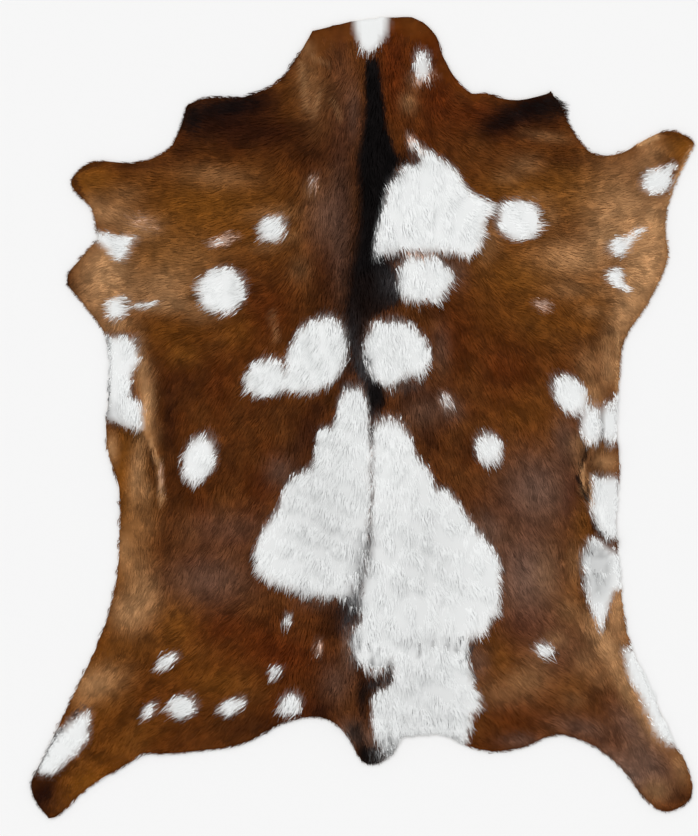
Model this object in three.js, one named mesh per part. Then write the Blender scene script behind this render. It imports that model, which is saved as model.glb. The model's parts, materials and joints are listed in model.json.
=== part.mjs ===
// Goatskin: one whole hair-on hide, tanned and laid out flat with its hair side up.
//
// Units are millimetres. +Y runs along the back from the tail to the neck, +X to the hide's right
// side as seen from above, and +Z up. The flesh side is flat on z = 0 and the origin is under the
// middle of the hide. The solid holds the leather and the coat that lies on it.

import * as THREE from 'three';

// Driving sizes
const HIDE_LENGTH = 900; // from the neck cut to the hind feet
const LEATHER = 1.6; // tanned skin under the hair
const RIM_COAT = 1.2; // hair left standing over the very edge
const RIM_TAPER = 30; // width of the band where the coat thins out towards the edge
const LATTICE = 10.5; // pitch of the mesh cells
const EDGE_STEP = 4; // spacing of the points along the edge curve

// The edge is drawn for a hide about 900 long, in millimetres from the middle of the back. Each row
// is a landmark, clockwise as seen from above. The edge turns sharply at the rows marked corner and
// runs smoothly through the others.
const EDGE = {
  neckCut: [
    { x: -56, y: 434, corner: true },
    { x: -11, y: 445, corner: true },
    { x: 26, y: 449 },
    { x: 65, y: 447 },
    { x: 87, y: 426 },
  ],
  rightNeck: [
    { x: 93, y: 406 },
    { x: 120, y: 366 },
    { x: 138, y: 364, corner: true },
    { x: 173, y: 357 },
  ],
  rightShoulder: [
    { x: 212, y: 365, corner: true },
    { x: 222, y: 356, corner: true },
    { x: 233, y: 330, corner: true },
    { x: 251, y: 304 },
    { x: 265, y: 294 },
    { x: 291, y: 298 },
  ],
  rightForeleg: [
    { x: 312, y: 310 },
    { x: 343, y: 323 },
    { x: 370, y: 313 },
    { x: 375, y: 306, corner: true },
    { x: 360, y: 277 },
    { x: 344, y: 233 },
    { x: 342, y: 208 },
    { x: 345, y: 179 },
    { x: 323, y: 128 },
    { x: 296, y: 85 },
  ],
  rightFlank: [
    { x: 290, y: 40 },
    { x: 287, y: 5 },
    { x: 291, y: -52 },
    { x: 287, y: -120 },
    { x: 292, y: -184 },
    { x: 299, y: -240 },
  ],
  rightHindLeg: [
    { x: 325, y: -303 },
    { x: 342, y: -341 },
    { x: 352, y: -366 },
    { x: 363, y: -381 },
    { x: 372, y: -419 },
    { x: 366, y: -432 },
    { x: 338, y: -443 },
    { x: 311, y: -422 },
    { x: 298, y: -403 },
    { x: 262, y: -370 },
  ],
  rightRump: [
    { x: 219, y: -356 },
    { x: 183, y: -370 },
    { x: 143, y: -375 },
    { x: 108, y: -364 },
    { x: 92, y: -356 },
  ],
  tail: [
    { x: 45, y: -359, corner: true },
    { x: 39, y: -375 },
    { x: 13, y: -391 },
    { x: 0, y: -386 },
  ],
  leftRump: [
    { x: -19, y: -353 },
    { x: -46, y: -337 },
    { x: -86, y: -343 },
    { x: -131, y: -366 },
    { x: -176, y: -374 },
    { x: -223, y: -378 },
    { x: -243, y: -377 },
  ],
  leftHindLeg: [
    { x: -265, y: -392 },
    { x: -290, y: -406 },
    { x: -313, y: -423 },
    { x: -343, y: -449 },
    { x: -355, y: -444 },
    { x: -371, y: -413 },
    { x: -353, y: -371 },
    { x: -328, y: -319 },
    { x: -296, y: -251 },
  ],
  leftFlank: [
    { x: -278, y: -196 },
    { x: -272, y: -140 },
    { x: -272, y: -82 },
    { x: -286, y: -33 },
    { x: -287, y: -3 },
    { x: -284, y: 29 },
    { x: -286, y: 87 },
  ],
  leftForeleg: [
    { x: -314, y: 128 },
    { x: -332, y: 154 },
    { x: -311, y: 184 },
    { x: -296, y: 201, corner: true },
    { x: -304, y: 234 },
    { x: -320, y: 250 },
    { x: -327, y: 263 },
    { x: -311, y: 283 },
    { x: -295, y: 289 },
    { x: -249, y: 287 },
  ],
  leftShoulder: [
    { x: -216, y: 302 },
    { x: -204, y: 325 },
    { x: -196, y: 351, corner: true },
    { x: -175, y: 359 },
    { x: -141, y: 359 },
    { x: -119, y: 364 },
  ],
  leftNeck: [
    { x: -92, y: 378 },
    { x: -69, y: 411 },
  ],
};

// Depth of the lying coat over the backbone and over the sides, at stations along the back
const COAT = [
  { y: 450, back: 5.5, side: 4.5 },
  { y: 330, back: 8.0, side: 5.5 },
  { y: 140, back: 9.0, side: 5.0 },
  { y: -120, back: 8.0, side: 4.5 },
  { y: -300, back: 9.0, side: 5.5 },
  { y: -450, back: 7.0, side: 4.0 },
];
const BACK_WIDTH = 95; // how far the deep coat of the back reaches to each side
const LEG_COAT = 3.4; // short hair on the legs
const LEG_START = 225; // distance from the backbone where the coat begins to shorten
const LEG_END = 320; // distance from the backbone where only leg hair is left

// Soft folds left in the skin by the legs, the belly and the neck, and the parting of the hair along
// the loins. A positive rise is a ridge and a negative one a trough.
const FOLDS = [
  { name: 'left flank, upper', fromX: -262, fromY: 52, toX: -240, toY: -30, rise: 3.2, width: 11 },
  { name: 'left flank, middle', fromX: -240, fromY: -30, toX: -229, toY: -95, rise: 4.6, width: 10 },
  { name: 'left flank, lower', fromX: -229, fromY: -95, toX: -231, toY: -205, rise: 3.0, width: 14 },
  { name: 'left belly trough', fromX: -258, fromY: -20, toX: -250, toY: -100, rise: -1.8, width: 8 },
  { name: 'left elbow', fromX: -262, fromY: 128, toX: -140, toY: 112, rise: 3.0, width: 13 },
  { name: 'left foreleg', fromX: -292, fromY: 196, toX: -258, toY: 178, rise: -2.0, width: 9 },
  { name: 'right flank, upper', fromX: 262, fromY: 5, toX: 248, toY: -60, rise: 3.4, width: 11 },
  { name: 'right flank, middle', fromX: 248, fromY: -60, toX: 244, toY: -150, rise: 4.8, width: 11 },
  { name: 'right flank, lower', fromX: 244, fromY: -150, toX: 268, toY: -240, rise: 3.4, width: 12 },
  { name: 'right belly trough', fromX: 266, fromY: -75, toX: 262, toY: -150, rise: -2.0, width: 9 },
  { name: 'right stifle', fromX: 268, fromY: -240, toX: 322, toY: -352, rise: 2.6, width: 12 },
  { name: 'right elbow', fromX: 312, fromY: 210, toX: 262, toY: 176, rise: 2.4, width: 12 },
  { name: 'left stifle', fromX: -262, fromY: -250, toX: -312, toY: -352, rise: 2.2, width: 14 },
  { name: 'left of the neck', fromX: -58, fromY: 396, toX: -30, toY: 318, rise: 1.8, width: 13 },
  { name: 'right of the neck', fromX: 66, fromY: 400, toX: 92, toY: 330, rise: 1.6, width: 14 },
  { name: 'parting on the loins', fromX: 10, fromY: 0, toX: 9, toY: -200, rise: -2.2, width: 8 },
  { name: 'crest of the withers', fromX: 14, fromY: 395, toX: 2, toY: 110, rise: 1.6, width: 14 },
];

// Locks of the coat: shallow waves that fan out from the backbone, each wave with its own length
const LOCKS = [
  { height: 0.55, across: 31, along: 74, phase: 0.4 },
  { height: 0.4, across: 19, along: 43, phase: 2.1 },
  { height: 0.3, across: 47, along: 29, phase: 4.0 },
];
const FAN = 260; // the further out, the more the locks turn away from the backbone
const SWAY = 1.4; // how far each wave wanders from side to side, in radians

const SMOOTHING_ROUNDS = 3;

// The landmarks joined into one closed edge, as points EDGE_STEP apart.
function drawEdge(landmarks) {
  const edge = [];
  let run = [];
  for (const mark of [...landmarks, landmarks[0]]) {
    run.push(new THREE.Vector3(mark.x, mark.y, 0));
    if (mark.corner && run.length > 1) {
      const curve = new THREE.CatmullRomCurve3(run, false, 'centripetal');
      const steps = Math.max(1, Math.round(curve.getLength() / EDGE_STEP));
      edge.push(...curve.getSpacedPoints(steps).slice(0, -1));
      run = [run.at(-1)];
    }
  }
  return edge;
}

function isInside(edge, x, y) {
  let inside = false;
  for (let i = 0, j = edge.length - 1; i < edge.length; j = i++) {
    const a = edge[i];
    const b = edge[j];
    const crosses = a.y > y !== b.y > y;
    if (crosses && x < a.x + ((y - a.y) * (b.x - a.x)) / (b.y - a.y)) {
      inside = !inside;
    }
  }
  return inside;
}

function nearestOnEdge(edge, point) {
  const segment = new THREE.Line3();
  const candidate = new THREE.Vector3();
  const nearest = new THREE.Vector3();
  let distance = Infinity;
  edge.forEach((start, i) => {
    segment.set(start, edge[(i + 1) % edge.length]);
    segment.closestPointToPoint(point, true, candidate);
    const reach = candidate.distanceTo(point);
    if (reach < distance) {
      distance = reach;
      nearest.copy(candidate);
    }
  });
  return { nearest, distance };
}

// Depth of the coat at a place, from the stations along the back.
function coatDepth(x, y) {
  const last = COAT.length - 1;
  const after = THREE.MathUtils.clamp(COAT.findIndex((row) => row.y < y), 1, last);
  const before = COAT[after - 1];
  const next = COAT[after];
  const t = THREE.MathUtils.clamp((before.y - y) / (before.y - next.y), 0, 1);
  const back = THREE.MathUtils.lerp(before.back, next.back, t);
  const side = THREE.MathUtils.lerp(before.side, next.side, t);
  const body = side + (back - side) * Math.exp(-((x / BACK_WIDTH) ** 2));
  return THREE.MathUtils.lerp(body, LEG_COAT, THREE.MathUtils.smoothstep(Math.abs(x), LEG_START, LEG_END));
}

// Rise of the folds at a place: the highest ridge and the deepest trough that reach it.
function foldRise(x, y) {
  const place = new THREE.Vector3(x, y, 0);
  const segment = new THREE.Line3();
  const closest = new THREE.Vector3();
  let ridge = 0;
  let trough = 0;
  for (const fold of FOLDS) {
    segment.start.set(fold.fromX, fold.fromY, 0);
    segment.end.set(fold.toX, fold.toY, 0);
    segment.closestPointToPoint(place, true, closest);
    const rise = fold.rise * Math.exp(-((closest.distanceTo(place) / fold.width) ** 2));
    ridge = Math.max(ridge, rise);
    trough = Math.min(trough, rise);
  }
  return ridge + trough;
}

// Unevenness of the locks at a place, measured along and across the way the hair lies.
function lockHeight(x, y) {
  const turn = Math.atan(x / FAN);
  const across = x * Math.cos(turn) + y * Math.sin(turn);
  const along = y * Math.cos(turn) - x * Math.sin(turn);
  let height = 0;
  for (const wave of LOCKS) {
    const sway = Math.sin((2 * Math.PI * along) / wave.along + wave.phase);
    height += wave.height * Math.sin((2 * Math.PI * across) / wave.across + SWAY * sway + wave.phase);
  }
  return height;
}

// Height of the coat's surface over the ground, given how far inside the edge the place is.
function surfaceHeight(x, y, inset) {
  const full = coatDepth(x, y) + foldRise(x, y) + lockHeight(x, y);
  const inner = THREE.MathUtils.smoothstep(inset, 0, RIM_TAPER);
  return LEATHER + THREE.MathUtils.lerp(RIM_COAT, Math.max(full, RIM_COAT), inner);
}

// The square cells of the lattice whose middles are inside the edge.
function layCells(edge) {
  const bounds = new THREE.Box3().setFromPoints(edge);
  const columns = Math.ceil((bounds.max.x - bounds.min.x) / LATTICE);
  const rows = Math.ceil((bounds.max.y - bounds.min.y) / LATTICE);
  const cells = new Set();
  const key = (column, row) => row * (columns + 1) + column;
  const middle = (start, index) => start + (index + 0.5) * LATTICE;
  for (let row = 0; row < rows; row++) {
    for (let column = 0; column < columns; column++) {
      if (isInside(edge, middle(bounds.min.x, column), middle(bounds.min.y, row))) {
        cells.add(key(column, row));
      }
    }
  }
  closePinches(cells, columns, rows, key);
  return { cells, columns, key, origin: bounds.min };
}

// Two cells that meet at one corner only get a third cell beside them, so that no place is pinched.
function closePinches(cells, columns, rows, key) {
  for (let row = 1; row < rows; row++) {
    for (let column = 1; column < columns; column++) {
      const lowLeft = cells.has(key(column - 1, row - 1));
      const lowRight = cells.has(key(column, row - 1));
      const highLeft = cells.has(key(column - 1, row));
      const highRight = cells.has(key(column, row));
      if (lowLeft && highRight && !lowRight && !highLeft) {
        cells.add(key(column, row - 1));
      }
      if (lowRight && highLeft && !lowLeft && !highRight) {
        cells.add(key(column - 1, row - 1));
      }
    }
  }
}

// The lattice as points and four-sided cells. The outermost points are drawn onto the edge, the
// corners of the edge each take the nearest of them, and the inner points even out in between.
function fitLattice(edge, corners) {
  const { cells, columns, key, origin } = layCells(edge);
  const points = [];
  const numberOf = new Map();
  const pointAt = (column, row) => {
    const place = key(column, row);
    if (!numberOf.has(place)) {
      numberOf.set(place, points.length);
      points.push(new THREE.Vector3(origin.x + column * LATTICE, origin.y + row * LATTICE, 0));
    }
    return numberOf.get(place);
  };
  const quads = [...cells].map((cell) => {
    const column = cell % (columns + 1);
    const row = Math.floor(cell / (columns + 1));
    return [
      pointAt(column, row),
      pointAt(column + 1, row),
      pointAt(column + 1, row + 1),
      pointAt(column, row + 1),
    ];
  });

  const rim = traceRim(quads);
  for (const index of rim) {
    points[index].copy(nearestOnEdge(edge, points[index]).nearest);
  }
  for (const corner of corners) {
    const spot = new THREE.Vector3(corner.x, corner.y, 0);
    const closer = (best, index) =>
      points[index].distanceTo(spot) < points[best].distanceTo(spot) ? index : best;
    points[rim.reduce(closer)].copy(spot);
  }

  const onRim = new Set(rim);
  const neighbours = points.map(() => new Set());
  for (const quad of quads) {
    quad.forEach((index, i) => {
      neighbours[index].add(quad[(i + 1) % 4]);
      neighbours[index].add(quad[(i + 3) % 4]);
    });
  }
  for (let round = 0; round < SMOOTHING_ROUNDS; round++) {
    points.forEach((point, index) => {
      if (!onRim.has(index)) {
        point.set(0, 0, 0);
        neighbours[index].forEach((other) => point.add(points[other]));
        point.divideScalar(neighbours[index].size);
      }
    });
  }
  return { points, quads, rim };
}

// The outermost points in order, anticlockwise: the sides that only one cell has, end to end.
function traceRim(quads) {
  const following = new Map();
  const sides = new Set();
  for (const quad of quads) {
    quad.forEach((start, i) => sides.add(`${start},${quad[(i + 1) % 4]}`));
  }
  for (const side of sides) {
    const [start, end] = side.split(',').map(Number);
    if (!sides.has(`${end},${start}`)) {
      following.set(start, end);
    }
  }
  const first = following.keys().next().value;
  const rim = [first];
  while (following.get(rim.at(-1)) !== first) {
    rim.push(following.get(rim.at(-1)));
  }
  return rim;
}

function triangleArea(a, b, c) {
  return ((b.x - a.x) * (c.y - a.y) - (c.x - a.x) * (b.y - a.y)) / 2;
}

// Each cell is split along the diagonal that leaves the fuller triangles.
function splitCells(points, quads) {
  return quads.flatMap(([a, b, c, d]) => {
    const slimmest = (triangles) =>
      Math.min(...triangles.map((corners) => triangleArea(...corners.map((index) => points[index]))));
    const rising = [[a, b, c], [a, c, d]];
    const falling = [[a, b, d], [b, c, d]];
    return slimmest(rising) >= slimmest(falling) ? rising : falling;
  });
}

// The closed solid: the uneven coat above, the flat flesh side below and the cut edge between them.
function buildHide() {
  const landmarks = Object.values(EDGE).flat();
  const edge = drawEdge(landmarks);
  const corners = landmarks.filter((mark) => mark.corner);
  const { points, quads, rim } = fitLattice(edge, corners);

  const bounds = new THREE.Box3().setFromPoints(points);
  const middle = bounds.getCenter(new THREE.Vector3());
  const scale = HIDE_LENGTH / (bounds.max.y - bounds.min.y);
  const place = (point, z) => [(point.x - middle.x) * scale, (point.y - middle.y) * scale, z];

  const top = points.map((point) => {
    const { distance } = nearestOnEdge(edge, point);
    return place(point, surfaceHeight(point.x, point.y, distance));
  });
  const below = rim.map((index) => place(points[index], 0));
  const outline = rim.map((index) => new THREE.Vector2(points[index].x, points[index].y));

  const faces = splitCells(points, quads);
  for (const [a, b, c] of THREE.ShapeUtils.triangulateShape(outline, [])) {
    faces.push([top.length + c, top.length + b, top.length + a]);
  }
  rim.forEach((upper, i) => {
    const next = (i + 1) % rim.length;
    faces.push([upper, top.length + i, top.length + next]);
    faces.push([upper, top.length + next, rim[next]]);
  });

  const geometry = new THREE.BufferGeometry();
  geometry.setAttribute('position', new THREE.Float32BufferAttribute([...top, ...below].flat(), 3));
  geometry.setIndex(faces.flat());
  geometry.computeVertexNormals();
  return geometry;
}

const coat = new THREE.MeshStandardMaterial({ color: 0x6b3d1e, roughness: 0.75, metalness: 0 });

const goatskin = new THREE.Mesh(buildHide(), coat);
goatskin.name = 'goatskin';

const hide = new THREE.Group();
hide.name = 'hide';
hide.add(goatskin);

export default hide;
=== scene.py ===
import json
import math

import bmesh
import bpy
import numpy as np
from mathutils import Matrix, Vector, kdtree

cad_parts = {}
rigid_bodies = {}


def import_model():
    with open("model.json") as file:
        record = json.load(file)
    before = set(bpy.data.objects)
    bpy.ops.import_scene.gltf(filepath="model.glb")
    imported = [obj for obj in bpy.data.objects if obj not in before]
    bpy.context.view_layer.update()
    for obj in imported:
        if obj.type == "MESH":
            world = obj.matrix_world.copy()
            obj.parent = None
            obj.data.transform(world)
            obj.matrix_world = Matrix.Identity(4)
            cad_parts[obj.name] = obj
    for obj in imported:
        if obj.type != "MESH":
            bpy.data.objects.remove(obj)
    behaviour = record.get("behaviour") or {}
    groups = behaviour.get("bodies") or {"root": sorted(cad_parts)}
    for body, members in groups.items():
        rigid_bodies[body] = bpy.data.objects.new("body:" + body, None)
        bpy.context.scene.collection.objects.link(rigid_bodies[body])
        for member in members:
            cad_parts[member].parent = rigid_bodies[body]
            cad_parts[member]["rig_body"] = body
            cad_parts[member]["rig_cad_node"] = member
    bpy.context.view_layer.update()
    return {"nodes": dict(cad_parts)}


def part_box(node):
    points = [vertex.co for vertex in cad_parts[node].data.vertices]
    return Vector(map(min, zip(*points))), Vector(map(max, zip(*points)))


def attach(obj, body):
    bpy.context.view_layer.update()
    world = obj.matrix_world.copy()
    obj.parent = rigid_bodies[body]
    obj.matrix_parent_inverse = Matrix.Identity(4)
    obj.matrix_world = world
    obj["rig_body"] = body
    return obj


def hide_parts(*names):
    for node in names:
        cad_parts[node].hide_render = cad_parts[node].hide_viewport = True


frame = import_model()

# Camera. The hide lies on the ground with its neck away from the viewer, and the camera hangs
# straight over it on a long lens, so that nothing of the hide is foreshortened.
hide = frame["nodes"]["goatskin"]
hide_low, hide_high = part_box("goatskin")
PHOTO_WIDE, PHOTO_HIGH = 698, 836
HIDE_PIXELS = 803.0
PIXEL = (hide_high.y - hide_low.y) / HIDE_PIXELS
MIDDLE_PIXEL = (362.6, 416.2)
CAMERA_HEIGHT = 6.0
SENSOR = 36.0


def on_hide(px, py):
    """The place on the hide, in metres, of a pixel of the photograph."""
    return (px - MIDDLE_PIXEL[0]) * PIXEL, (MIDDLE_PIXEL[1] - py) * PIXEL


camera_x, camera_y = on_hide((PHOTO_WIDE - 1) / 2, (PHOTO_HIGH - 1) / 2)
bpy.ops.object.camera_add(location=(camera_x, camera_y, CAMERA_HEIGHT), rotation=(0, 0, 0))
camera = bpy.context.object
camera.name = "camera"
camera.data.sensor_width = SENSOR
camera.data.lens = SENSOR * CAMERA_HEIGHT / (PHOTO_HIGH * PIXEL)
camera.data.clip_end = 50
bpy.context.scene.camera = camera
bpy.context.scene.view_settings.view_transform = "Standard"


# Skin. The tanned leather of the whole hide, about a millimetre and a half thick, which lies flat
# on its flesh side but for the soft folds that the legs, the flanks and the neck left in it. It is
# cut to the edge of the solid, a little inside the reach of its hair.
LEATHER = 0.0016
EDGE_INSET = 0.0025
SWELL = 0.0004
SWELL_SIZE = 0.11
MILLIMETRE = 0.001
# Each fold has its ends in pixels of the photograph, and its rise and its width to the left and to
# the right of its crest in millimetres.
FOLDS = [dict(zip(("name", "ends", "rise", "left", "right"), row)) for row in [
    ("left flank, top", (143, 372, 149, 418), 4.0, 11, 6),
    ("left flank, upper", (149, 418, 153, 446), 5.5, 10, 4),
    ("left flank, middle", (153, 446, 160, 476), 6.0, 9, 3.5),
    ("left flank, tip", (160, 476, 160, 500), 4.5, 7, 3.5),
    ("left flank, lower", (156, 508, 150, 600), 3.0, 14, 12),
    ("left flap", (128, 448, 136, 520), 2.5, 12, 12),
    ("left elbow", (128, 303, 237, 318), 3.2, 9, 15),
    ("right flank, top", (600, 372, 606, 408), 3.0, 11, 11),
    ("right flap, top", (612, 450, 596, 449), 5.0, 4, 6),
    ("right flap, turn", (596, 449, 584, 466), 6.0, 5, 4),
    ("right flap, side", (584, 466, 584, 492), 5.5, 4, 4),
    ("right flank, middle", (596, 480, 604, 528), 3.0, 9, 7),
    ("right flank, cross", (592, 522, 612, 541), 4.5, 6, 4),
    ("right flank, lower", (584, 550, 601, 632), 3.6, 12, 10),
    ("right stifle", (601, 632, 649, 731), 2.8, 12, 12),
    ("right elbow", (640, 230, 596, 260), 2.6, 12, 12),
    ("left stifle", (128, 640, 84, 731), 2.4, 14, 14),
    ("left of the neck", (310, 64, 335, 134), 2.0, 13, 13),
    ("right of the neck", (421, 61, 444, 123), 1.8, 14, 14),
]]


def along_line(x, y, ax, ay, bx, by):
    """How far each place is from the line between two ends."""
    length = (bx - ax) ** 2 + (by - ay) ** 2
    t = np.clip(((x - ax) * (bx - ax) + (y - ay) * (by - ay)) / length, 0, 1)
    return np.hypot(x - ax - t * (bx - ax), y - ay - t * (by - ay))


def waves(x, y, size, seed):
    """An even, cloudy unevenness between about -1 and 1, with lumps of one size."""
    draw = np.random.default_rng(seed)
    total = np.zeros_like(x)
    for turn, phase, stretch in zip(
        draw.uniform(0, 2 * math.pi, 9), draw.uniform(0, 2 * math.pi, 9), draw.uniform(0.7, 1.5, 9)
    ):
        pace = 2 * math.pi / (size * stretch)
        total += np.sin(pace * (x * math.cos(turn) + y * math.sin(turn)) + phase)
    return total / 3


def skin_lift(x, y):
    """How far the skin stands off the ground, in metres."""
    lift = np.zeros_like(x)
    for fold in FOLDS:
        ax, ay = on_hide(*fold["ends"][:2])
        bx, by = on_hide(*fold["ends"][2:])
        on_left = (bx - ax) * (y - ay) > (by - ay) * (x - ax)
        wide = np.where(on_left, fold["left"], fold["right"]) * MILLIMETRE
        reach = along_line(x, y, ax, ay, bx, by) / wide
        lift = np.maximum(lift, fold["rise"] * MILLIMETRE * np.exp(-(reach ** 2)))
    return lift + SWELL * np.clip(waves(x, y, SWELL_SIZE, 3), 0, 1)


def take(piece):
    """Selects one piece alone and makes it the active one."""
    bpy.ops.object.select_all(action="DESELECT")
    piece.select_set(True)
    bpy.context.view_layer.objects.active = piece


def points_of(mesh):
    """The points of a mesh, one to a row."""
    points = np.zeros(len(mesh.vertices) * 3)
    mesh.vertices.foreach_get("co", points)
    return points.reshape(-1, 3)


def put_points(mesh, points):
    mesh.vertices.foreach_set("co", points.ravel())
    mesh.update()


def thicken(piece, name, thickness):
    """Gives a sheet its thickness, downwards from the side that it was shaped on."""
    take(piece)
    thick = piece.modifiers.new(name, "SOLIDIFY")
    thick.thickness = thickness
    thick.offset = -1
    bpy.ops.object.modifier_apply(modifier=thick.name)
    bpy.ops.object.shade_smooth()


skin = hide.copy()
skin.data = hide.data.copy()
skin.name = skin.data.name = "skin"
bpy.context.collection.objects.link(skin)
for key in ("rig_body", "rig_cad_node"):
    del skin[key]
skin.parent = None
skin.data.materials.clear()
take(skin)
bpy.ops.object.mode_set(mode="EDIT")
bpy.ops.mesh.select_all(action="SELECT")
WELD = 0.00002
bpy.ops.mesh.remove_doubles(threshold=WELD)
bpy.ops.mesh.select_mode(type="FACE")
bpy.ops.mesh.select_all(action="DESELECT")
cut = bmesh.from_edit_mesh(skin.data)
UPWARD = 0.3
for face in cut.faces:
    face.select = face.normal.z < UPWARD
bmesh.update_edit_mesh(skin.data)
bpy.ops.mesh.delete(type="FACE")

# The upper surface of the hide is kept as the surface that the coat fills up to, and its border
# as the edge that the hide is cut to.
cut = bmesh.from_edit_mesh(skin.data)
coat_top = kdtree.KDTree(len(cut.verts))
coat_heights = []
for number, vert in enumerate(cut.verts):
    coat_top.insert((vert.co.x, vert.co.y, 0), number)
    coat_heights.append(vert.co.z)
coat_top.balance()


def coat_height(x, y):
    """Height of the lying coat over each place, from the nearest points of the solid's top."""
    heights = []
    for place in zip(x, y):
        near = coat_top.find_n((*place, 0), 3)
        weights = [1 / (found[2] + MILLIMETRE) for found in near]
        total = sum(w * coat_heights[found[1]] for w, found in zip(weights, near))
        heights.append(total / sum(weights))
    return np.array(heights)


edge_lines = np.array(
    [[*e.verts[0].co.xy, *e.verts[1].co.xy] for e in cut.edges if e.is_boundary]
)
for vert in [v for v in cut.verts if v.is_boundary]:
    inner = [e.other_vert(vert).co - vert.co for e in vert.link_edges if not e.is_boundary]
    if inner:
        inward = sum(inner[1:], inner[0]).normalized()
        vert.co += inward * EDGE_INSET
bmesh.update_edit_mesh(skin.data)
bpy.ops.mesh.select_all(action="SELECT")
bpy.ops.mesh.subdivide(number_cuts=1)
bpy.ops.object.mode_set(mode="OBJECT")

# Distance inside the edge, worked out once on a fine square grid and read off it afterwards.
GRID = 0.0025
MARGIN = 0.05
FAR = 1e9
grid_x = np.arange(hide_low.x - MARGIN, hide_high.x + MARGIN, GRID)
grid_y = np.arange(hide_low.y - MARGIN, hide_high.y + MARGIN, GRID)


def inside_distance(x, y, lines):
    """Distance from a closed line, positive inside it and negative outside."""
    distance = np.full(x.shape, FAR)
    crossings = np.zeros(x.shape, int)
    for ax, ay, bx, by in lines:
        distance = np.minimum(distance, along_line(x, y, ax, ay, bx, by))
        if ay != by:
            crosses = ((ay > y) != (by > y)) & (x < ax + (y - ay) * (bx - ax) / (by - ay))
            crossings += crosses
    return np.where(crossings % 2 == 1, distance, -distance)


edge_grid = inside_distance(*np.meshgrid(grid_x, grid_y), edge_lines)
HIDE_AREA = float((edge_grid > 0).sum() * GRID ** 2)


def inset(x, y):
    """How far inside the edge each place is, in metres."""
    column = np.clip((x - grid_x[0]) / GRID, 0, len(grid_x) - 1.001)
    row = np.clip((y - grid_y[0]) / GRID, 0, len(grid_y) - 1.001)
    c, r = column.astype(int), row.astype(int)
    u, v = column - c, row - r
    low = edge_grid[r, c] * (1 - u) + edge_grid[r, c + 1] * u
    high = edge_grid[r + 1, c] * (1 - u) + edge_grid[r + 1, c + 1] * u
    return low * (1 - v) + high * v


places = points_of(skin.data)
places[:, 2] = LEATHER + skin_lift(places[:, 0], places[:, 1])
put_points(skin.data, places)
hair_side_mesh = skin.data.copy()
hair_side_count = len(places)
thicken(skin, "leather", LEATHER)
places = points_of(skin.data)
places[:, 2] = np.maximum(places[:, 2], 0)
put_points(skin.data, places)
is_flesh = (np.arange(len(places)) >= hair_side_count).astype(float)

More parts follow.
